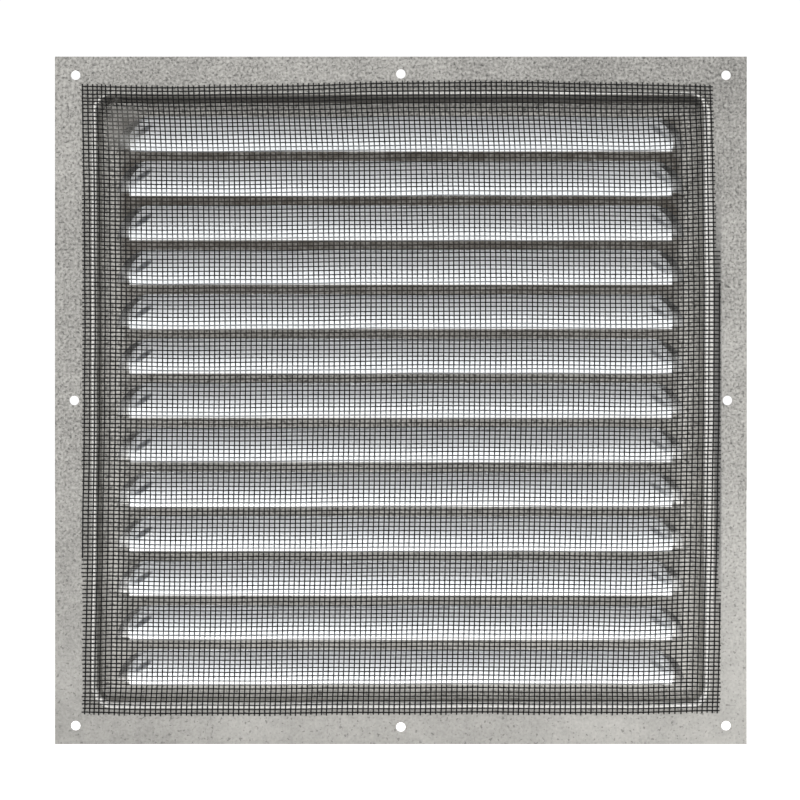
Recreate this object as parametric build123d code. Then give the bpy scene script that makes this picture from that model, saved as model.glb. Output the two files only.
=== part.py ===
from build123d import *
from math import atan, cos, radians, tan
import os

# Square louvred vent cover: a pressed galvanised sheet with an insect screen bonded to its back.
# Both pieces are drawn lying on their back: x across, y towards the top edge, z from the wall to the louvred
# front, with the flange's wall face at z = 0. They are stood upright at the end, with the front towards +Y.

# Sheet and plate outline
SHEET = 0.5
PLATE_WIDTH = 250.0
PLATE_HEIGHT = 248.5

# Panel pressed forward inside the flange: flange widths run from the plate's edge to the mouth of the recess,
# where the flange's back and the step's wall would meet without the rounding, which is that of the front face
FLANGE_SIDE = 14.9
FLANGE_END = 14.65
STEP_DEPTH = 5.0
STEP_SLOPE = 20.0
STEP_CORNER = 6.0
STEP_ROUNDING = 2.5

# Louvres: a cut-out in the panel and the hood pressed forward from it, open below along its lip.
# The margin runs from the mouth of the recess to a louvre's end, and the panel takes as many as its height holds
LOUVRE_PITCH = 16.1
LOUVRE_MARGIN = 7.35
LOUVRE_HEIGHT = 12.6
LOUVRE_CORNER = 12.0
END_SLOPE = 35.0
ROOT_RISE = 1.2
LIP_RISE = 6.0
LIP_SETBACK = 0.7
CREST_CHAMFER = 0.8

# Fixing holes, one in each corner and one at the middle of each side: centres inset from the plate's edges
HOLE_DIAMETER = 3.4
CORNER_HOLE_SIDE_INSET = 7.5
CORNER_HOLE_END_INSET = 6.75
MIDDLE_HOLE_SIDE_INSET = 7.0
MIDDLE_HOLE_END_INSET = 6.25

# Insect screen: one woven wall, its weave drawn coarse, as a row of gaps behind each louvre and thread ridges.
# It laps over the flange, past the mouth of the recess, and takes as many gaps across as its floor holds
SCREEN_SIDE_LAP = 4.4
SCREEN_END_LAP = 4.4
SCREEN_THICKNESS = 0.3
SCREEN_CLEARANCE = 0.3
GAP_PITCH = 23.2
GAP_WIDTH = 20.6
GAP_HEIGHT = 12.6
RIDGE_WIDTH = 0.8
RIDGE_HEIGHT = 0.2

# Worked out from the sizes above
RECESS_WIDTH = PLATE_WIDTH - 2 * FLANGE_SIDE
RECESS_HEIGHT = PLATE_HEIGHT - 2 * FLANGE_END
STEP_RUN = STEP_DEPTH * tan(radians(STEP_SLOPE))
LOUVRE_LENGTH = RECESS_WIDTH - 2 * LOUVRE_MARGIN
LOUVRE_LAND = LOUVRE_PITCH - LOUVRE_HEIGHT
LOUVRE_COUNT = int((RECESS_HEIGHT - 2 * STEP_RUN - LOUVRE_LAND) // LOUVRE_PITCH)
FIELD_HEIGHT = LOUVRE_PITCH * LOUVRE_COUNT - LOUVRE_LAND
BLADE_SLOPE = (LIP_RISE - ROOT_RISE) / LOUVRE_HEIGHT
HOOD_WALL = SHEET / cos(radians(END_SLOPE))
CELL_WIDTH = LOUVRE_LENGTH + 4 * HOOD_WALL
RUN_OUT = 2 * LOUVRE_CORNER
SCREEN_WALL = (SCREEN_CLEARANCE + SCREEN_THICKNESS) / cos(radians(STEP_SLOPE))
GAP_COLUMNS = int((RECESS_WIDTH - 2 * STEP_RUN - 2 * SCREEN_WALL - RIDGE_WIDTH) // GAP_PITCH)


def lip_heights():
    """Height of each louvre's cut edge, from the bottom louvre up, with the field centred on the plate."""
    return [LOUVRE_PITCH * step - FIELD_HEIGHT / 2 for step in range(LOUVRE_COUNT)]


def inner_loop(sheet, height):
    """The edges round the hole in a sheet's flat face at a height."""
    flat = sheet.faces().filter_by(Axis.Z).filter_by_position(Axis.Z, height, height)
    return flat[0].inner_wires()[0].edges()


def recess_form(inset, bottom, top):
    """The recess as a filled form between two heights, its sloped walls inset from the plate's own."""
    grow = -inset / cos(radians(STEP_SLOPE)) - bottom * tan(radians(STEP_SLOPE))
    outline = RectangleRounded(RECESS_WIDTH + 2 * grow, RECESS_HEIGHT + 2 * grow, STEP_CORNER + grow)
    return Pos(0, 0, bottom) * extrude(outline, top - bottom, taper=STEP_SLOPE)


def hood_form(stand_out):
    """A louvre as a filled form with every face stand_out from the back one, drawn RUN_OUT past its lip."""
    grow = stand_out / cos(radians(END_SLOPE))
    outline = RectangleRounded(
        LOUVRE_LENGTH + 2 * grow,
        LOUVRE_HEIGHT + RUN_OUT + 2 * grow,
        LOUVRE_CORNER + grow,
    )
    root_top = ROOT_RISE + stand_out / cos(atan(BLADE_SLOPE))
    full_rise = root_top + BLADE_SLOPE * (LOUVRE_HEIGHT + RUN_OUT)
    block = extrude(Pos(0, (LOUVRE_HEIGHT - RUN_OUT) / 2) * outline, full_rise, taper=END_SLOPE)
    blade = Plane(origin=(0, LOUVRE_HEIGHT, root_top), x_dir=(1, 0, 0), z_dir=(0, BLADE_SLOPE, 1))
    return split(block, bisect_by=blade, keep=Keep.BOTTOM)


def louvre_cell():
    """One pitch of the panel with its louvre: back face at z = 0, the louvre's cut edge at y = 0."""
    slab = Pos(0, (LOUVRE_PITCH - 2 * RUN_OUT) / 2) * Rectangle(CELL_WIDTH, LOUVRE_PITCH + 2 * RUN_OUT)
    hood = hood_form(SHEET)
    hood = chamfer(hood.faces().sort_by(Axis((0, 0, 0), (0, BLADE_SLOPE, 1)))[-1].edges(), CREST_CHAMFER)
    cell = extrude(slab, SHEET) + hood - hood_form(0)
    above_cut = Rectangle(CELL_WIDTH, LOUVRE_PITCH, align=(Align.CENTER, Align.MIN))
    below_lip = Rectangle(LOUVRE_LENGTH, LIP_SETBACK, align=(Align.CENTER, Align.MIN))
    reach = 2 * (LIP_RISE + SHEET)
    return (cell & extrude(above_cut, reach, both=True)) - extrude(below_lip, reach, both=True)


def hole_centres():
    """Centres of the fixing holes: the corners, then the middles of the left and right sides, then of the ends."""
    corner_x = PLATE_WIDTH - 2 * CORNER_HOLE_SIDE_INSET
    corner_y = PLATE_HEIGHT - 2 * CORNER_HOLE_END_INSET
    middle_x = PLATE_WIDTH - 2 * MIDDLE_HOLE_SIDE_INSET
    middle_y = PLATE_HEIGHT - 2 * MIDDLE_HOLE_END_INSET
    corners = GridLocations(corner_x, corner_y, 2, 2)
    sides = GridLocations(middle_x, 0, 2, 1)
    ends = GridLocations(0, middle_y, 1, 2)
    return [*corners, *sides, *ends]


def louvre_plate():
    """The pressed sheet: flange, stepped panel, louvres and fixing holes."""
    plate = extrude(Rectangle(PLATE_WIDTH, PLATE_HEIGHT), SHEET)
    plate += recess_form(-SHEET, 0, STEP_DEPTH + SHEET)
    plate -= recess_form(0, 0, STEP_DEPTH)
    plate = fillet(inner_loop(plate, SHEET), STEP_ROUNDING)
    plate = fillet(inner_loop(plate, 0), STEP_ROUNDING + SHEET)
    lips = lip_heights()
    field = Rectangle(CELL_WIDTH, LOUVRE_PITCH * LOUVRE_COUNT, align=(Align.CENTER, Align.MIN))
    plate -= extrude(Pos(0, lips[0], STEP_DEPTH) * field, SHEET)
    cell = louvre_cell()
    plate += [Pos(0, lip, STEP_DEPTH) * cell for lip in lips]
    hole = Cylinder(HOLE_DIAMETER / 2, 2 * SHEET)
    return plate - [centre * hole for centre in hole_centres()]


def insect_screen():
    """The woven screen: it lies on the flange, dips into the recess and lies on the back of the panel."""
    floor = STEP_DEPTH - SCREEN_THICKNESS
    border = Rectangle(RECESS_WIDTH + 2 * SCREEN_SIDE_LAP, RECESS_HEIGHT + 2 * SCREEN_END_LAP)
    screen = Pos(0, 0, -SCREEN_THICKNESS) * extrude(border, SCREEN_THICKNESS)
    screen += recess_form(SCREEN_CLEARANCE, 0, STEP_DEPTH)
    screen -= recess_form(SCREEN_CLEARANCE + SCREEN_THICKNESS, -SCREEN_THICKNESS, floor)
    gap = extrude(Pos(0, 0, floor) * Rectangle(GAP_WIDTH, GAP_HEIGHT), SCREEN_THICKNESS)
    gap_centres = GridLocations(GAP_PITCH, LOUVRE_PITCH, GAP_COLUMNS, LOUVRE_COUNT)
    screen -= gap_centres * gap
    warp_ridge = Rectangle(RIDGE_WIDTH, LOUVRE_PITCH * LOUVRE_COUNT)
    ridges = Sketch() + GridLocations(GAP_PITCH, 0, GAP_COLUMNS + 1, 1) * warp_ridge
    return screen + extrude(Pos(0, 0, floor) * ridges, -RIDGE_HEIGHT)


def main():
    os.makedirs("parts", exist_ok=True)
    upright = Plane(origin=(0, 0, 0), x_dir=(-1, 0, 0), z_dir=(0, 1, 0))
    export_step(upright * louvre_plate(), "parts/louvre_plate.step")
    export_step(upright * insect_screen(), "parts/insect_screen.step")


main()
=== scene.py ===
from math import pi, radians

import bpy
import numpy as np
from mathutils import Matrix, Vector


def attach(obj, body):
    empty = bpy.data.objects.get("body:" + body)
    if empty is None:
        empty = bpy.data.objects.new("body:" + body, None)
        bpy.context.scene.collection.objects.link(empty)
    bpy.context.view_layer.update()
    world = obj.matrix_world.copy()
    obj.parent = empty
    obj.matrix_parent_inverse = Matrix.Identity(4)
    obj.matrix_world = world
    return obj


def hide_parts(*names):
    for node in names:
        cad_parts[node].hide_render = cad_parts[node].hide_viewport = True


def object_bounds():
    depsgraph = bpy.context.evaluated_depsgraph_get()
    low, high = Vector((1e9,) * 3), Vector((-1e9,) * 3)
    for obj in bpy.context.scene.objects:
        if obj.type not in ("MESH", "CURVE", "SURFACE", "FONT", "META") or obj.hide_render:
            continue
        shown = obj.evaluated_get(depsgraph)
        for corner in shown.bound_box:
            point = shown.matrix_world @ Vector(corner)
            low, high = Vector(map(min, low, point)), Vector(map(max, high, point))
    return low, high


# Square louvred vent cover, seen from its back: a pressed galvanised plate with a black insect screen bonded
# into the recess behind its louvres. Metres throughout, +Z up, the louvred front towards +Y.
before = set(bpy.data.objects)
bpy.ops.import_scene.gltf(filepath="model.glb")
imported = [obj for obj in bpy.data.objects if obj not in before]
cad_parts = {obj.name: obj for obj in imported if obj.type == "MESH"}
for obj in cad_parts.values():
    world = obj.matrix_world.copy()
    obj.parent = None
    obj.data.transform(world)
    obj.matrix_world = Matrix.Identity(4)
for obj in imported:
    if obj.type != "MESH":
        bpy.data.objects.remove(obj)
cad_low, cad_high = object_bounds()
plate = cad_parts["louvre_plate"]

MM = 0.001
SEED = 7
WHITE = (1, 1, 1, 1)

# Plate, as in the part; the bend is the rounding between the flange and the step's wall
RECESS_HALF_WIDTH = 110.1 * MM
RECESS_HALF_HEIGHT = 109.6 * MM
RECESS_CORNER = 6.0 * MM
STEP_DEPTH = 5.0 * MM
BEND_DEPTH = 1.97 * MM
SHEET = 0.5 * MM
LOUVRE_PITCH = 16.1 * MM
LOUVRE_HEIGHT = 12.6 * MM
LOUVRE_COUNT = 13
LOWEST_LIP = -102.9 * MM


def ramp(value, start, end):
    """Smooth 0 to 1 as value goes from start to end."""
    t = np.clip((value - start) / (end - start), 0, 1)
    return t * t * (3 - 2 * t)


def placed(name, data):
    """A new object in the scene."""
    piece = bpy.data.objects.new(name, data)
    bpy.context.scene.collection.objects.link(piece)
    return piece


def set_material(piece, material):
    piece.data.materials.clear()
    piece.data.materials.append(material)


# Insect screen: black coated thread in a plain weave, cut by hand and pressed into the recess. Threads are
# numbered from the middle of the cloth, columns (warp) to the right and rows (weft) upwards
THREAD_RADIUS = 0.215 * MM
THREAD_SIDES = 4
THREAD_SPREAD = 0.05 * MM
FEWEST_POINTS = 3
CRIMP = 0.14 * MM
WARP_PITCH = 1.888 * MM
WARP_SHIFT = 0.5 * MM
WARP_NUMBERS = np.arange(-61, 64)
WEFT_PITCH = 1.5 * MM
WEFT_SHIFT = 0.6 * MM
WEFT_NUMBERS = np.arange(-76, 77)

# The cut sides, and the threads' ends past the last crossing
LEFT_CUT = -115.1 * MM
RIGHT_CUT = 115.4 * MM
RIGHT_NOTCH = 2.3 * MM
RIGHT_NOTCH_UP = (50 * MM, 64 * MM)
FRAY = 0.85 * MM
FRAY_SPREAD = 0.25 * MM

# Points along a column: close together at its ends, where it goes over the step, and wide apart between
WARP_END_POINTS = np.arange(14) * MM
WARP_MIDDLE_INSET = 24 * MM
WARP_MIDDLE_POINTS = 12

# The cloth leaves the flange and meets the panel at these distances inside the mouth of the recess. It is
# stretched into the recess, so its threads close up only as they would over a step of CLOSES_UP
SCREEN_OFFSET = THREAD_RADIUS + CRIMP
LEAVES_FLANGE = -1.7 * MM
MEETS_PANEL = 6.0 * MM
CLOSES_UP = 2.4 * MM
CLOSED_UP_AT = 4.3 * MM
DRAPE_POINTS = 41


def mouth_distance(x, z):
    """How far a place lies inside the mouth of the recess, a rectangle with rounded corners."""
    qx = np.abs(x) - (RECESS_HALF_WIDTH - RECESS_CORNER)
    qz = np.abs(z) - (RECESS_HALF_HEIGHT - RECESS_CORNER)
    outside = np.hypot(np.maximum(qx, 0), np.maximum(qz, 0))
    return RECESS_CORNER - outside - np.minimum(np.maximum(qx, qz), 0)


def screen_depth(x, z):
    """The y of the screen's middle surface: flat on the flange, over the step and flat on the panel."""
    return STEP_DEPTH * ramp(mouth_distance(x, z), LEAVES_FLANGE, MEETS_PANEL) - SCREEN_OFFSET


def draped_place(along, half_size):
    """Place across the plate of a point at a length along the cloth, measured from the middle."""
    inside = np.linspace(CLOSED_UP_AT, LEAVES_FLANGE, DRAPE_POINTS)
    depth = CLOSES_UP * ramp(inside, LEAVES_FLANGE, CLOSED_UP_AT)
    lengths = np.concatenate([[0], np.cumsum(np.hypot(np.diff(inside), np.diff(depth)))])
    step_place = half_size - inside
    step_along = step_place[0] + lengths
    size = np.abs(along)
    on_step = np.interp(size, step_along, step_place)
    beyond = step_place[-1] + np.maximum(size - step_along[-1], 0)
    place = np.where(size < step_along[0], size, np.where(size > step_along[-1], beyond, on_step))
    return np.sign(along) * place


# The cloth's uneven lie: columns bow to the left above and below a middle height, more so at the very top
CLOTH_HALF_WIDTH = 112 * MM
BOW_MIDDLE = 25 * MM
BOW_ABOVE = 0.75 * MM
BOW_ABOVE_TILT = 0.2
BOW_ABOVE_REACH = 70 * MM
BOW_TOP = 0.6 * MM
BOW_TOP_UP = (92 * MM, 108 * MM)
BOW_TOP_SIDES = (104 * MM, 108 * MM)
BOW_BELOW = 2.55 * MM
BOW_BELOW_TILT = 0.75 * MM
BOW_BELOW_REACH = 126 * MM
BOW_BELOW_POWER = 1.5
BOW_RIGHT_EASE = 1.1 * MM
BOW_RIGHT_ACROSS = (98 * MM, 112 * MM)

# Rows wave, most on the top lap, and rise at the sides below it; both ripple finely
TOP_LAP = (100 * MM, 113 * MM)
WAVE_HEIGHT = 0.36 * MM
WAVE_GROWTH = 0.1 * MM
WAVE_GROWTH_REACH = 100 * MM
WAVE_ON_LAP = 0.44 * MM
WAVE_CREST = 31 * MM
WAVE_LENGTH = 224 * MM
RIGHT_RISE = 1.0 * MM
RIGHT_RISE_ACROSS = (84 * MM, 114 * MM)
LEFT_RISE = 0.35 * MM
LEFT_RISE_ACROSS = (84 * MM, 108 * MM)
COLUMN_RIPPLE = 0.07 * MM
COLUMN_RIPPLE_UP = 7.3 * MM
COLUMN_RIPPLE_ACROSS = 11 * MM
ROW_RIPPLE = 0.08 * MM
ROW_RIPPLE_UP = 13 * MM
ROW_RIPPLE_ACROSS = 8.1 * MM


def bow(x, z):
    """How far a place on the cloth is pulled to the left."""
    side = x / CLOTH_HALF_WIDTH
    inner = 1 - ramp(np.abs(x), *BOW_TOP_SIDES)
    above = np.maximum(z - BOW_MIDDLE, 0) / BOW_ABOVE_REACH
    below = np.maximum(BOW_MIDDLE - z, 0) / BOW_BELOW_REACH
    bow_above = BOW_ABOVE * (1 + BOW_ABOVE_TILT * side) * above ** 2 + BOW_TOP * inner * ramp(z, *BOW_TOP_UP)
    most_below = BOW_BELOW + BOW_BELOW_TILT * side - BOW_RIGHT_EASE * ramp(x, *BOW_RIGHT_ACROSS)
    return bow_above + most_below * below ** BOW_BELOW_POWER


def lift(x, z):
    """How far a place on the cloth is pulled up."""
    lap = ramp(z, *TOP_LAP)
    height = WAVE_HEIGHT + WAVE_GROWTH * z / WAVE_GROWTH_REACH + WAVE_ON_LAP * lap
    wave = height * np.cos(2 * pi * (x - WAVE_CREST) / WAVE_LENGTH)
    rise = RIGHT_RISE * ramp(x, *RIGHT_RISE_ACROSS) + LEFT_RISE * ramp(-x, *LEFT_RISE_ACROSS)
    return wave + (1 - lap) * rise


def pulled(x, z):
    """Where a place on an even cloth lies on this one."""
    column_ripple = COLUMN_RIPPLE * np.sin(z / COLUMN_RIPPLE_UP - x / COLUMN_RIPPLE_ACROSS)
    row_ripple = ROW_RIPPLE * np.sin(x / ROW_RIPPLE_ACROSS + z / ROW_RIPPLE_UP)
    return x - bow(x, z) + column_ripple, z + lift(x, z) + row_ripple


def inside_cut(x, z):
    """Which places lie inside the cloth's cut sides; the right side is cut shorter towards the top."""
    return (x > LEFT_CUT) & (x < RIGHT_CUT - RIGHT_NOTCH * ramp(z, *RIGHT_NOTCH_UP))


def thread_tube(points):
    """Rings of vertices round a thread's line and the faces between them, open at the cut ends."""
    tangents = np.gradient(points, axis=0)
    tangents /= np.linalg.norm(tangents, axis=1, keepdims=True)
    across = np.cross(tangents, (0, 1, 0))
    across /= np.linalg.norm(across, axis=1, keepdims=True)
    outward = np.cross(across, tangents)
    turns = 2 * pi * np.arange(THREAD_SIDES) / THREAD_SIDES
    rings = (
        points[:, None, :]
        + THREAD_RADIUS * np.cos(turns)[None, :, None] * across[:, None, :]
        + THREAD_RADIUS * np.sin(turns)[None, :, None] * outward[:, None, :]
    )
    ring = np.arange(len(points) - 1)[:, None] * THREAD_SIDES
    side = np.arange(THREAD_SIDES)[None, :]
    following = (side + 1) % THREAD_SIDES
    corners = [ring + side, ring + following, ring + THREAD_SIDES + following, ring + THREAD_SIDES + side]
    return rings.reshape(-1, 3), np.stack(corners, axis=-1).reshape(-1, 4)


def mesh_object(name, tubes):
    """One mesh object from many tubes, smooth shaded."""
    vertices, faces, start = [], [], 0
    for tube_vertices, tube_faces in tubes:
        vertices.append(tube_vertices)
        faces.append(tube_faces + start)
        start += len(tube_vertices)
    vertices, faces = np.concatenate(vertices), np.concatenate(faces)
    mesh = bpy.data.meshes.new(name)
    mesh.vertices.add(len(vertices))
    mesh.vertices.foreach_set("co", vertices.astype(np.float32).ravel())
    mesh.loops.add(faces.size)
    mesh.loops.foreach_set("vertex_index", faces.astype(np.int32).ravel())
    mesh.polygons.add(len(faces))
    mesh.polygons.foreach_set("loop_start", np.arange(0, faces.size, faces.shape[1], dtype=np.int32))
    mesh.polygons.foreach_set("use_smooth", np.ones(len(faces), dtype=bool))
    mesh.update(calc_edges=True)
    mesh.validate()
    return placed(name, mesh)


def weft_line(warp_along, along, number, rng):
    """One row's line, over and under the columns, with its cut ends a little past the outermost ones."""
    x, z = pulled(draped_place(warp_along, RECESS_HALF_WIDTH), draped_place(along, RECESS_HALF_HEIGHT))
    over = CRIMP * np.where((WARP_NUMBERS + number) % 2, 1, -1)
    kept = inside_cut(x, z)
    x, z, over = x[kept], z[kept], over[kept]
    ends = np.array([LEFT_CUT, min(x[-1] + FRAY, RIGHT_CUT)]) + rng.uniform(-1, 1, 2) * FRAY_SPREAD
    x = np.concatenate([[min(ends[0], x[0] - FRAY_SPREAD)], x, [max(ends[1], x[-1] + FRAY_SPREAD)]])
    z = np.concatenate([z[:1], z, z[-1:]])
    over = np.concatenate([[0], over, [0]])
    return np.stack([x, screen_depth(x, z) + over, z], axis=1)


def warp_line(along, weft_ends, rng):
    """One column's line, straight through the rows, or what the cut sides leave of it."""
    low, high = weft_ends + np.array([-FRAY, FRAY]) + rng.uniform(-1, 1, 2) * FRAY_SPREAD
    middle = np.linspace(low + WARP_MIDDLE_INSET, high - WARP_MIDDLE_INSET, WARP_MIDDLE_POINTS)
    column = np.concatenate([low + WARP_END_POINTS, middle, high - WARP_END_POINTS[::-1]])
    x, z = pulled(draped_place(along, RECESS_HALF_WIDTH), draped_place(column, RECESS_HALF_HEIGHT))
    kept = inside_cut(x, z)
    x, z = x[kept], z[kept]
    return np.stack([x, screen_depth(x, z), z], axis=1)


def insect_screen():
    """The woven screen: straight warp threads up the plate, weft threads crimped over and under them."""
    rng = np.random.default_rng(SEED)
    warps = WARP_NUMBERS * WARP_PITCH + WARP_SHIFT + rng.normal(0, THREAD_SPREAD, len(WARP_NUMBERS))
    wefts = WEFT_NUMBERS * WEFT_PITCH + WEFT_SHIFT + rng.normal(0, THREAD_SPREAD, len(WEFT_NUMBERS))
    lines = [weft_line(warps, along, number, rng) for along, number in zip(wefts, WEFT_NUMBERS)]
    lines += [warp_line(along, wefts[[0, -1]], rng) for along in warps]
    tubes = [thread_tube(line) for line in lines if len(line) >= FEWEST_POINTS]
    return mesh_object("insect_screen_weave", tubes)


# Lip ends: the strips of sheet along the cut below the sloping ends of each louvre, as boxes
LIP_END_OUTER = 102.9 * MM
LIP_END_INNER = 98.4 * MM
LIP_END_OVERLAP = 0.1 * MM
LIP_END_HEIGHT = 1.0 * MM
BOX_FACES = [(0, 1, 2, 3), (4, 7, 6, 5), (0, 4, 5, 1), (1, 5, 6, 2), (2, 6, 7, 3), (3, 7, 4, 0)]


def lip_ends():
    """The sheet below the sloping ends of each louvre, where its lip runs down to the panel."""
    vertices, faces = [], []
    for number in range(LOUVRE_COUNT):
        low = LOWEST_LIP + LOUVRE_PITCH * number - LIP_END_OVERLAP
        high = low + LIP_END_HEIGHT
        for side in (-1, 1):
            outer, inner = side * LIP_END_OUTER, side * LIP_END_INNER
            start = len(vertices)
            for y in (STEP_DEPTH, STEP_DEPTH + SHEET):
                vertices += [(outer, y, low), (inner, y, low), (inner, y, high), (outer, y, high)]
            faces += [tuple(start + corner for corner in face[::side]) for face in BOX_FACES]
    mesh = bpy.data.meshes.new("lip_ends")
    mesh.from_pydata(vertices, [], faces)
    return placed("lip_ends", mesh)


class Nodes:
    """Short calls for building one node tree."""

    # Colour sockets of the Mix node: factor, first and second colour, and the result
    MIX_INPUTS = (0, 6, 7)
    MIX_RESULT = 2

    def __init__(self, owner):
        owner.use_nodes = True
        self.tree = owner.node_tree
        self.tree.nodes.clear()

    def set(self, socket, value):
        if isinstance(value, bpy.types.NodeSocket):
            self.tree.links.new(value, socket)
        else:
            socket.default_value = value

    def add(self, kind, inputs=None, **settings):
        node = self.tree.nodes.new(kind)
        for key, value in settings.items():
            setattr(node, key, value)
        for key, value in (inputs or {}).items():
            self.set(node.inputs[key], value)
        return node

    def math(self, operation, a, b=0.0, c=0.0):
        return self.add("ShaderNodeMath", {0: a, 1: b, 2: c}, operation=operation).outputs[0]

    def product(self, first, *others):
        for other in others:
            first = self.math("MULTIPLY", first, other)
        return first

    def greatest(self, first, *others):
        for other in others:
            first = self.math("MAXIMUM", first, other)
        return first

    def axes(self, vector):
        return self.add("ShaderNodeSeparateXYZ", {0: vector}).outputs

    def span(self, value, low, high, to_low=0.0, to_high=1.0):
        """Smooth step from one value to another, between two places."""
        inputs = {"Value": value, "From Min": low, "From Max": high, "To Min": to_low, "To Max": to_high}
        return self.add("ShaderNodeMapRange", inputs, interpolation_type="SMOOTHSTEP").outputs["Result"]

    def band(self, value, start, full_from, full_to, end):
        """1 between the middle two of four places, fading to 0 at the outer two."""
        return self.product(self.span(value, start, full_from), self.span(value, end, full_to))

    def noise(self, vector, size, detail=2.0, roughness=0.5):
        inputs = {"Vector": vector, "Scale": 1 / size, "Detail": detail, "Roughness": roughness}
        return self.add("ShaderNodeTexNoise", inputs).outputs["Fac"]

    def mix(self, factor, a, b, blend="MIX"):
        node = self.add("ShaderNodeMix", data_type="RGBA", blend_type=blend)
        for number, value in zip(self.MIX_INPUTS, (factor, a, b)):
            self.set(node.inputs[number], value)
        return node.outputs[self.MIX_RESULT]

    def scaled(self, colour, factor):
        grey = self.add("ShaderNodeCombineXYZ", {0: factor, 1: factor, 2: factor}).outputs[0]
        return self.mix(1.0, colour, grey, "MULTIPLY")

    def surface(self, inputs):
        shader = self.add("ShaderNodeBsdfPrincipled", inputs)
        self.add("ShaderNodeOutputMaterial", {"Surface": shader.outputs[0]})


# Materials. A name that ends in NOISE holds a noise's size, detail and roughness, and one that ends in BAND
# the four places of a band. Other rows are spans: two places, or two places and the values there. FACING rows
# go by the normal's share along an axis, such as -1 along Y for a face straight towards the back
ZINC = (0.372, 0.364, 0.343, 1)
DARKENED_ZINC = (0.13, 0.129, 0.128, 1)
# Painted highlight, on the step's bend and on the flange beside it
PAINTED_HIGHLIGHT = (0.95, 0.94, 0.91, 1)
# Painted light and painted shade for the step's wall
PAINTED_LIT_WALL = (0.56, 0.55, 0.52, 1)
PAINTED_WALL_SHADE = (0.12, 0.114, 0.105, 1)
ADHESIVE = (0.075, 0.064, 0.052, 1)
PALE_ADHESIVE = (0.21, 0.205, 0.192, 1)
# Painted light and shade inside the louvres: a lit copy of the zinc for the blades and a shaded one for the
# ends
LIT_LOUVRE_INSIDE = (0.445, 0.452, 0.458, 1)
SHADED_LOUVRE_END = (0.40, 0.395, 0.385, 1)
# Painted shade for the oval spots in the louvres
SPOT_SHADE = (0.075, 0.08, 0.09, 1)

# What the marks on the sheet share
GRAIN_NOISE = (1.0 * MM, 2.0, 0.55)
BLOTCH_NOISE = (3.2 * MM, 2.0, 0.5)
STRAIGHT_BACK = (-0.9, -0.97)
TOWARDS_BACK = (-0.08, -0.25)
INSIDE_FACING = (0.1, -0.1)
INSIDE_DEPTH = (STEP_DEPTH + 0.01 * MM, STEP_DEPTH + 0.05 * MM)
END_FACING = (0.15, 0.4)


def louvre_rise(n, z):
    """Height above the lip of the louvre at a height on the plate."""
    return n.math("FLOORED_MODULO", n.math("SUBTRACT", z, LOWEST_LIP), LOUVRE_PITCH)


class SheetPlace:
    """A place on the sheet: where it lies, which way it faces and the noises there."""

    def __init__(self, n):
        self.place = n.add("ShaderNodeTexCoord").outputs["Object"]
        self.x, self.y, self.z = n.axes(self.place)
        self.across = n.math("ABSOLUTE", self.x)
        self.updown = n.math("ABSOLUTE", self.z)
        self.normal = n.axes(n.add("ShaderNodeNewGeometry").outputs["True Normal"])
        self.grain = n.noise(self.place, *GRAIN_NOISE)
        self.blotch = n.noise(self.place, *BLOTCH_NOISE)
        self.straight_back = n.span(self.normal["Y"], *STRAIGHT_BACK)
        self.towards_back = n.span(self.normal["Y"], *TOWARDS_BACK)
        self.in_louvre = n.product(n.span(self.y, *INSIDE_DEPTH), n.span(self.normal["Y"], *INSIDE_FACING))
        self.louvre_end = n.span(n.math("ABSOLUTE", self.normal["X"]), *END_FACING)


# Clean zinc, under a painted slope of light and shade
CLOUD_NOISE = (36 * MM, 3.0, 0.55)
FLECK_NOISE = (1.5 * MM, 1.0)
PIT_NOISE = (0.9 * MM, 0.0)
NOISE_MIDDLE = 0.5
COARSE_UP = (-125 * MM, 0 * MM, 0.4, 1.15)
COARSE_FACING = (-0.1, 0.3, 1.0, 0.4)
CLOUD_TONE = (0.25, 0.75, 0.86, 1.14)
BLOTCH_TONE = 0.4
GRAIN_TONE = 1.7
TONE_REACH = 120 * MM
CORNER_SHADE = -0.09
UP_SHADE = -0.1
RIGHT_LIGHT = 0.03
FLECK_TONE = (0.30, 0.36, 0.6, 1.0)
SIDE_TONE = (111 * MM, 117 * MM, 1.0, 0.925)
PIT_TONE = (0.36, 0.28, 0.0, 0.4)


def clean_zinc(n, at):
    """Cloudy zinc, coarser in the upper half, with painted shade towards the top, the top right and the lower
    left, and painted light to the right.
    """
    coarse = n.product(n.span(at.z, *COARSE_UP), n.span(at.normal["Y"], *COARSE_FACING))
    tone = n.span(n.noise(at.place, *CLOUD_NOISE), *CLOUD_TONE)
    tone = n.math("ADD", tone, n.product(n.math("SUBTRACT", at.blotch, NOISE_MIDDLE), BLOTCH_TONE))
    tone = n.math("ADD", tone, n.product(n.math("SUBTRACT", at.grain, NOISE_MIDDLE), coarse, GRAIN_TONE))
    # Painted light and shade: darker at the top right and lower left, darker towards the top and lighter to
    # the right
    tone = n.math("ADD", tone, n.product(at.x, at.z, CORNER_SHADE / TONE_REACH ** 2))
    light_slope = n.math("MULTIPLY_ADD", at.z, UP_SHADE, n.product(at.x, RIGHT_LIGHT))
    tone = n.math("ADD", tone, n.product(light_slope, 1 / TONE_REACH))
    tone = n.product(tone, n.span(n.noise(at.place, *FLECK_NOISE), *FLECK_TONE))
    tone = n.product(tone, n.span(at.across, *SIDE_TONE))
    pit = n.product(n.span(n.noise(at.place, *PIT_NOISE), *PIT_TONE), coarse)
    return n.scaled(ZINC, n.product(tone, n.math("SUBTRACT", 1.0, pit)))


# The flange beside the step on the right: a painted highlight next to the bend, and a darker band under the
# screen's edge
ON_FLANGE = (0.05 * MM, 0.01 * MM)
HIGHLIGHT_BAND = (110.5 * MM, 111.5 * MM, 112.7 * MM, 113.2 * MM)
HIGHLIGHT_UPDOWN = (100 * MM, 60 * MM, 0.0, 0.55)
DARKENED_BAND = (112.9 * MM, 113.6 * MM, 115.4 * MM, 116.2 * MM)
DARKENED_UPDOWN = (90 * MM, 40 * MM, 0.0, 0.75)


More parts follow.
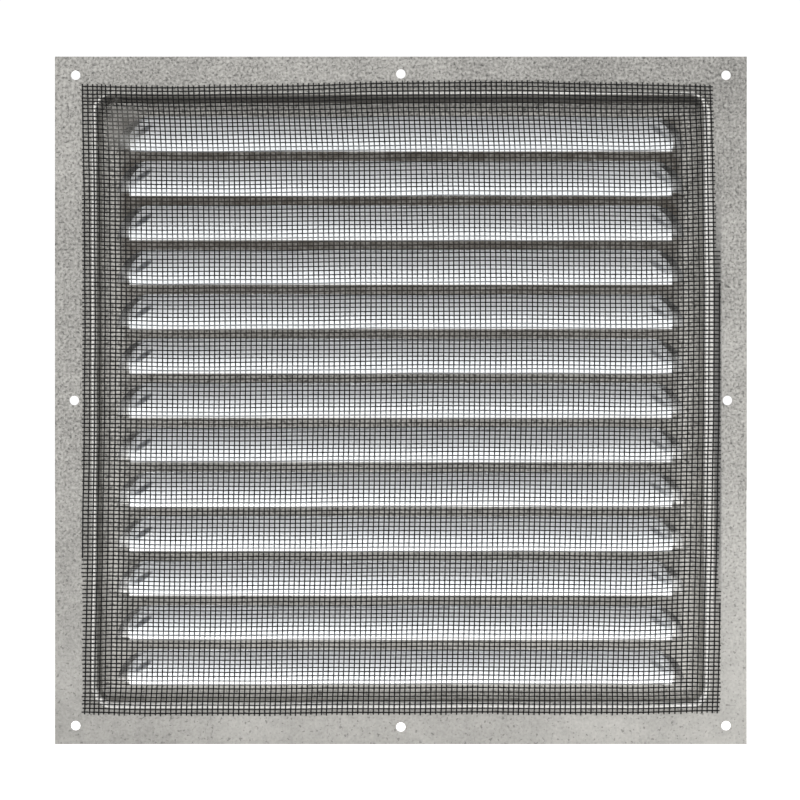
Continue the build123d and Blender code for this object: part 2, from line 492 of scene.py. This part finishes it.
def flange_highlight_and_dark_band(n, at, colour):
    """The right flange: a painted highlight next to the bend, and darker under the screen's edge."""
    on_flange = n.product(at.straight_back, n.span(at.y, *ON_FLANGE))
    # Painted highlight next to the bend, in the bend's highlight colour
    flange_highlight = n.product(on_flange, n.band(at.x, *HIGHLIGHT_BAND), n.span(at.updown, *HIGHLIGHT_UPDOWN))
    dark_band = n.product(on_flange, n.band(at.x, *DARKENED_BAND), n.span(at.updown, *DARKENED_UPDOWN))
    return n.mix(dark_band, n.mix(flange_highlight, colour, PAINTED_HIGHLIGHT), DARKENED_ZINC)


# The step, with painted light and shade: where its bend has a painted highlight, where its wall's painted
# shade begins and how light that is
STEP_BAND = (0.02 * MM, 0.08 * MM, STEP_DEPTH - 0.1 * MM, STEP_DEPTH - 0.02 * MM)
LIT_BELOW = (0.04, 0.2)
LIT_RIGHT = (-0.04, -0.2, 0.0, 0.65)
LIT_LEFT = (0.04, 0.2, 0.0, 0.6)
BEND_ENDS = (1.1 * BEND_DEPTH, 0.6 * BEND_DEPTH)
TOP_EDGE_BAND = (0.003 * MM, 0.01 * MM, 0.4 * MM, 0.5 * MM)
TOP_EDGE_FACING = (-0.05, -0.12)
TOP_EDGE_ACROSS = (-60 * MM, 60 * MM, 0.1, 0.65)
WALL_BEGINS = (0.8 * BEND_DEPTH, 1.3 * BEND_DEPTH)
WALL_UPPER_LEFT = (-0.55, -0.8)
WALL_ABOVE = (-0.25, -0.4)
WALL_LIGHT = (-0.3, 0.7)
WALL_LIGHT_LEFT = (0.3, 0.8, 0.0, 0.5)
WALL_BLOTCH = (0.3, 0.7, 0.6, 1.4)


def step_light_and_shade(n, at, colour):
    """The step, painted as if lit from the upper left: its bend has a painted highlight, brightest below and
    on the right, with a painted highlight along the edge above; its wall has painted shade, darkest above and
    on the left, where it takes in part of the bend."""
    on_step = n.product(at.towards_back, n.band(at.y, *STEP_BAND))
    right, up = at.normal["X"], at.normal["Z"]
    lit = n.greatest(n.span(up, *LIT_BELOW), n.span(right, *LIT_RIGHT), n.span(right, *LIT_LEFT))
    # Painted highlight on the bend where it faces up, left or right, and along the top edge
    bend = n.product(on_step, lit, n.span(at.y, *BEND_ENDS))
    top_edge_highlight = n.product(
        n.band(at.y, *TOP_EDGE_BAND),
        n.span(up, *TOP_EDGE_FACING),
        n.span(at.x, *TOP_EDGE_ACROSS),
        at.towards_back,
    )
    colour = n.mix(n.greatest(bend, top_edge_highlight), colour, PAINTED_HIGHLIGHT)
    # Painted shade on the wall, darkest above and on the left, lighter where it faces up or to the sides
    turned = n.math("SUBTRACT", up, right)
    wall = n.greatest(n.span(turned, *WALL_UPPER_LEFT), n.span(at.y, *WALL_BEGINS), n.span(up, *WALL_ABOVE))
    light = n.greatest(n.span(turned, *WALL_LIGHT), n.span(right, *WALL_LIGHT_LEFT))
    wall_light_and_shade = n.mix(n.product(light, n.span(at.blotch, *WALL_BLOTCH)), PAINTED_WALL_SHADE, PAINTED_LIT_WALL)
    return n.mix(n.product(on_step, wall), colour, wall_light_and_shade)


# The panel between the louvres
PANEL_BAND = (STEP_DEPTH - 0.1 * MM, STEP_DEPTH - 0.02 * MM, STEP_DEPTH + 0.02 * MM, STEP_DEPTH + 0.1 * MM)
MARGIN_ACROSS = (98 * MM, 105 * MM)
MARGIN_UPDOWN = (101 * MM, 104 * MM)
MARGIN_LIGHT = 0.43
MARGIN_LIGHT_UP = (100 * MM, 103 * MM, 1.0, 0.5)
LIGHTER_BELOW = (-68 * MM, -104 * MM, 0.0, 0.5)
SMEAR_UP = (-10 * MM, 75 * MM, 0.1, 0.85)
SMEAR_IN_MARGIN = (0, 1, 1.0, 0.1)
SMEAR_PATCH_NOISE = (11 * MM, 3.0)
SMEAR_PATCH = (0.3, 0.6, 0.75, 1.0)
SMEAR_SPECK_NOISE = (2.2 * MM, 2.0)
SMEAR_SPECK = (0.3, 0.6, 0.65, 1.1)


def panel_adhesive(n, at, colour):
    """Adhesive on the panel, thickest in the upper half; the margins round the louvres have none, and the
    panel is lighter there and towards the bottom.
    """
    on_panel = n.product(at.straight_back, n.band(at.y, *PANEL_BAND))
    margin = n.greatest(n.span(at.across, *MARGIN_ACROSS), n.span(at.updown, *MARGIN_UPDOWN))
    margin_light = n.product(margin, n.span(at.z, *MARGIN_LIGHT_UP), MARGIN_LIGHT)
    lightened = n.greatest(margin_light, n.span(at.z, *LIGHTER_BELOW))
    colour = n.mix(on_panel, colour, n.scaled(colour, n.math("ADD", lightened, 1.0)))
    smear = n.product(
        n.span(at.z, *SMEAR_UP),
        n.span(margin, *SMEAR_IN_MARGIN),
        n.span(n.noise(at.place, *SMEAR_PATCH_NOISE), *SMEAR_PATCH),
        n.span(n.noise(at.place, *SMEAR_SPECK_NOISE), *SMEAR_SPECK),
    )
    return n.mix(n.product(on_panel, smear), colour, ADHESIVE)


# Painted shade: the oval dark spots inside the louvres near their ends
SPOT_PLACE = 93.6 * MM
SPOT_HEIGHT = 6.4 * MM
SPOT_LENGTH = 2.9 * MM
SPOT_WIDTH = 1.1 * MM
SPOT_LEAN = 1.6
SPOT_UP = (30 * MM, 80 * MM, SPOT_HEIGHT, SPOT_HEIGHT + 1.2 * MM)
SPOT_EDGE = (2.0, 0.2)
SPOT_STRENGTH = (-60 * MM, 60 * MM, 0.85, 0.6)


def louvre_spot(n, at, rise):
    """How strongly an oval spot of painted shade covers a place; the spots slant and lie higher in the upper
    louvres.
    """
    along = n.product(n.math("SUBTRACT", at.across, SPOT_PLACE), 1 / SPOT_LENGTH)
    up = n.product(n.math("SUBTRACT", rise, n.span(at.z, *SPOT_UP)), 1 / SPOT_WIDTH)
    lean = n.math("MULTIPLY_ADD", along, SPOT_LEAN, up)
    reach = n.math("ADD", n.math("POWER", along, 2.0), n.math("POWER", lean, 2.0))
    return n.product(n.span(reach, *SPOT_EDGE), n.span(at.x, *SPOT_STRENGTH))


# Painted light and shade inside the louvres, by the rise above the lip and the height on the plate
BLADE_RISE = (2 * MM, LOUVRE_HEIGHT)
BLADE_LIGHT = (0, 1, 1.02, 1.42)
LOWER_LIGHT = (-10 * MM, -60 * MM, 0.0, 0.35)
LOWEST_DIM = (-106 * MM, -80 * MM, 0.5, 1.0)
NEAR_END_ACROSS = (94.5 * MM, 99 * MM, 0.0, 0.6)
NEAR_END_RISE = (2.2 * MM, 5.5 * MM)
ROOT_FACING = (-0.6, -0.8)
ROOT_DIM = (0, 1, 1.0, 0.6)
END_RISE = (1 * MM, 4.5 * MM, 1.5, 0.62)
END_UP = (-60 * MM, 70 * MM, 1.35, 0.6)
END_BLOTCH = (0.3, 0.7, 0.7, 1.3)


def louvre_light_and_shade(n, at, colour):
    """Painted light and shade inside the louvres: a lighter, bluish copy of the zinc, lighter still towards
    the root and in the lower half but less in the lowest louvre, with painted shade near the ends, on the
    ends, in the root's corner and in two oval spots."""
    rise = louvre_rise(n, at.z)
    blade = n.span(rise, *BLADE_RISE)
    lower = n.product(n.span(at.z, *LOWER_LIGHT), n.span(at.z, *LOWEST_DIM))
    shade = n.math("MULTIPLY_ADD", lower, blade, n.span(blade, *BLADE_LIGHT))
    # Painted shade near the ends and in the root's corner
    near_end = n.product(n.span(at.across, *NEAR_END_ACROSS), n.span(rise, *NEAR_END_RISE))
    shade = n.product(shade, n.math("SUBTRACT", 1.0, near_end))
    root = n.span(at.normal["Z"], *ROOT_FACING)
    inside = n.scaled(LIT_LOUVRE_INSIDE, n.product(shade, n.span(root, *ROOT_DIM)))
    # Painted shade on the louvres' ends, darker towards the top of each and in the upper louvres
    end_shade = n.product(n.span(rise, *END_RISE), n.span(at.z, *END_UP), n.span(at.blotch, *END_BLOTCH))
    inside = n.mix(at.louvre_end, inside, n.scaled(SHADED_LOUVRE_END, end_shade))
    inside = n.mix(louvre_spot(n, at, rise), inside, SPOT_SHADE)
    return n.mix(at.in_louvre, colour, inside)


# Haze on sheet and screen
HAZE_NOISE = (5 * MM, 2.0)
HAZE_RAGGED = 14 * MM
HAZE_ACROSS_BAND = (-108 * MM, -105 * MM, -98 * MM, -92 * MM)
HAZE_UP_BAND = (88 * MM, 95 * MM, 105 * MM, 108 * MM)
HAZE_ON_SHEET = 0.5


def haze(n, place):
    """Where adhesive has run through the screen: a ragged patch in the recess's upper left corner."""
    x, _, z = n.axes(place)
    ragged = n.product(n.math("SUBTRACT", n.noise(place, *HAZE_NOISE), NOISE_MIDDLE), HAZE_RAGGED)
    across = n.band(n.math("ADD", x, ragged), *HAZE_ACROSS_BAND)
    return n.product(across, n.band(n.math("ADD", z, ragged), *HAZE_UP_BAND))


# The sheet's surface; the louvres' ends are dull, so that the light from below leaves no glare on them
ZINC_METALLIC = 0.6
ZINC_ROUGHNESS = (0.2, 0.8, 0.40, 0.55)
END_ROUGHNESS = 0.9
GRAIN_BUMP = 0.3
GRAIN_DEPTH = 0.05 * MM


def zinc_material():
    """Dull galvanised sheet with a fine grain and dark flecks, smudged with adhesive on the panel, with
    painted light and shade across it, on the step and flange and inside the louvres.
    """
    material = bpy.data.materials.new("galvanised_sheet")
    n = Nodes(material)
    at = SheetPlace(n)
    colour = clean_zinc(n, at)
    for layer in (flange_highlight_and_dark_band, step_light_and_shade, panel_adhesive, louvre_light_and_shade):
        colour = layer(n, at, colour)
    hazed = n.product(haze(n, at.place), at.towards_back, HAZE_ON_SHEET)
    end_rough = n.product(at.in_louvre, at.louvre_end, END_ROUGHNESS)
    bump = n.add("ShaderNodeBump", {"Strength": GRAIN_BUMP, "Distance": GRAIN_DEPTH, "Height": at.grain})
    n.surface({
        "Base Color": n.mix(hazed, colour, PALE_ADHESIVE),
        "Metallic": ZINC_METALLIC,
        "Roughness": n.greatest(n.span(at.grain, *ZINC_ROUGHNESS), end_rough),
        "Normal": bump.outputs[0],
    })
    return material


# Thread: black, dusty, over adhesive on the lands between louvres, painted light over the lips, and hazed
THREAD_BLACK = (0.006, 0.006, 0.006, 1)
THREAD_DUSTY = (0.014, 0.0135, 0.0125, 1)
THREAD_GLUED = (0.024, 0.021, 0.018, 1)
# Painted light for the threads over the louvres' lips
PAINTED_LIT_THREAD = (0.17, 0.175, 0.18, 1)
THREAD_HAZED = (0.185, 0.18, 0.168, 1)
DUST_NOISE = (6 * MM, 3.0)
DUST = (0.45, 0.75)
LAND_RISE = (LOUVRE_HEIGHT - 0.4 * MM, LOUVRE_HEIGHT + 0.6 * MM)
LAND_ACROSS = (104 * MM, 96 * MM)
LAND_UP = (-40 * MM, 60 * MM, 0.2, 1.0)
LAND_TOP = (103 * MM, 101 * MM)
LIP_RISE = (3.6 * MM, 0.4 * MM)
LIP_FALL = (LOUVRE_PITCH - 0.6 * MM, LOUVRE_PITCH)
LIP_ACROSS = (99 * MM, 97 * MM)
LIP_UPDOWN = (103.6 * MM, 103 * MM)
HAZE_ON_THREAD = (0, 1, 0.55, 0.9)
THREAD_NOISE = (0.6 * MM, 2.0)
THREAD_ROUGHNESS = (0.3, 0.7, 0.55, 0.7)
THREAD_SPECULAR = 0.2


def thread_material():
    """Black coated thread, a little dusty here and there, dulled where adhesive covers it, with painted light
    over the louvres' lips.
    """
    material = bpy.data.materials.new("screen_thread")
    n = Nodes(material)
    place = n.add("ShaderNodeTexCoord").outputs["Object"]
    x, _, z = n.axes(place)
    across = n.math("ABSOLUTE", x)
    updown = n.math("ABSOLUTE", z)
    rise = louvre_rise(n, z)
    dust = n.span(n.noise(place, *DUST_NOISE), *DUST)
    colour = n.mix(dust, THREAD_BLACK, THREAD_DUSTY)
    on_land = n.product(
        n.span(rise, *LAND_RISE),
        n.span(across, *LAND_ACROSS),
        n.span(z, *LAND_UP),
        n.span(z, *LAND_TOP),
    )
    colour = n.mix(on_land, colour, THREAD_GLUED)
    # Painted light: threads over the louvres' lips are lighter
    near_lip = n.greatest(n.span(rise, *LIP_RISE), n.span(rise, *LIP_FALL))
    lip_light = n.product(near_lip, n.span(across, *LIP_ACROSS), n.span(updown, *LIP_UPDOWN))
    colour = n.mix(lip_light, colour, PAINTED_LIT_THREAD)
    hazed = n.product(haze(n, place), n.span(dust, *HAZE_ON_THREAD))
    n.surface({
        "Base Color": n.mix(hazed, colour, THREAD_HAZED),
        "Roughness": n.span(n.noise(place, *THREAD_NOISE), *THREAD_ROUGHNESS),
        "Specular IOR Level": THREAD_SPECULAR,
    })
    return material


# Stage: a floor in two parts, of which the front one lets the light from below pass
FLOOR_HALF = 4.0
FLOOR_DROP = 1 * MM
FLOOR_SPLIT = 0.8 * MM
FLOOR_GREY = (0.8, 0.8, 0.8, 1)
FLOOR_ROUGHNESS = 0.9
FLOOR_GLOW = 0.55
LIGHT_COLOUR = (0.965, 0.985, 1.0)
LIGHT_STRENGTH = 28
LIGHT_ANGLE = 5
LIGHT_LEAN = 6.5

# Surroundings: light at the sides, most from the upper left, overhead, straight ahead and behind the camera
LEFT_SHARE = -0.6
UPPER_LEFT = (-0.8, 0.9, 0.3, 2.1)
SIDE_LIGHT = (0.8, 0.1, 0.0, 0.5)
OVERHEAD_LIGHT = (-0.2, 0.8, 0.4, 1.15)
AHEAD = (0.9, 0.985)
AHEAD_LIGHT = 1.05
TURNED_AHEAD = (-0.5, 0.3)
BEHIND_LIGHT = 0.85


def floor_material():
    """Plain pale floor, bright as a lit table."""
    material = bpy.data.materials.new("pale_floor")
    Nodes(material).surface({
        "Base Color": FLOOR_GREY,
        "Roughness": FLOOR_ROUGHNESS,
        "Emission Color": WHITE,
        "Emission Strength": FLOOR_GLOW,
    })
    return material


def floor_part(name, near, far, material):
    """One part of the floor, between two places from the back to the front."""
    height = cad_low.z - FLOOR_DROP
    mesh = bpy.data.meshes.new(name)
    near_side = [(-FLOOR_HALF, near, height), (FLOOR_HALF, near, height)]
    far_side = [(FLOOR_HALF, far, height), (-FLOOR_HALF, far, height)]
    mesh.from_pydata(near_side + far_side, [], [(0, 1, 2, 3)])
    part = placed(name, mesh)
    set_material(part, material)
    return part


def surroundings():
    """Pale surroundings, brightest at the sides."""
    world = bpy.data.worlds.new("surroundings")
    bpy.context.scene.world = world
    n = Nodes(world)
    rightwards, forwards, upwards = n.axes(n.add("ShaderNodeTexCoord").outputs["Generated"])
    upper_left = n.span(n.math("MULTIPLY_ADD", rightwards, LEFT_SHARE, upwards), *UPPER_LEFT)
    sides = n.product(n.span(n.math("ABSOLUTE", forwards), *SIDE_LIGHT), upper_left)
    overhead = n.span(upwards, *OVERHEAD_LIGHT)
    straight = n.span(forwards, *AHEAD)
    ahead = n.math("MULTIPLY_ADD", straight, n.math("SUBTRACT", AHEAD_LIGHT, overhead), overhead)
    turned = n.span(forwards, *TURNED_AHEAD)
    around = n.math("MULTIPLY_ADD", turned, n.math("SUBTRACT", ahead, BEHIND_LIGHT), BEHIND_LIGHT)
    strength = n.math("ADD", sides, around)
    background = n.add("ShaderNodeBackground", {"Color": WHITE, "Strength": strength})
    n.add("ShaderNodeOutputWorld", {"Surface": background.outputs[0]})


def build_stage():
    """Floor, surroundings, and a light from below for the louvres' insides."""
    material = floor_material()
    split = cad_high.y + FLOOR_SPLIT
    floor_part("floor_back", -FLOOR_HALF, split, material)
    floor_part("floor_front", split, FLOOR_HALF, material).visible_shadow = False
    surroundings()
    glow = bpy.data.lights.new("light_table", "SUN")
    glow.color = LIGHT_COLOUR
    glow.energy = LIGHT_STRENGTH
    glow.angle = radians(LIGHT_ANGLE)
    placed("light_table", glow).rotation_euler = (radians(180 + LIGHT_LEAN), 0, 0)


# Camera, straight on to the back at the photograph's frame
CAMERA_DISTANCE = 1.4
CAMERA_RIGHT = -0.31 * MM
CAMERA_UP = 0.16 * MM
PHOTO_WIDTH = 289.06 * MM
SENSOR = 36.0


def build_camera():
    data = bpy.data.cameras.new("camera")
    data.sensor_width = SENSOR
    data.lens = SENSOR * CAMERA_DISTANCE / PHOTO_WIDTH
    camera = placed("camera", data)
    camera.location = (CAMERA_RIGHT, -CAMERA_DISTANCE, CAMERA_UP)
    camera.rotation_euler = (pi / 2, 0, 0)
    bpy.context.scene.camera = camera


zinc = zinc_material()
set_material(plate, zinc)
ends = lip_ends()
set_material(ends, zinc)
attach(ends, "root")
screen = insect_screen()
set_material(screen, thread_material())
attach(screen, "root")
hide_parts("insect_screen")
build_stage()
build_camera()
bpy.context.scene.view_settings.view_transform = "Standard"
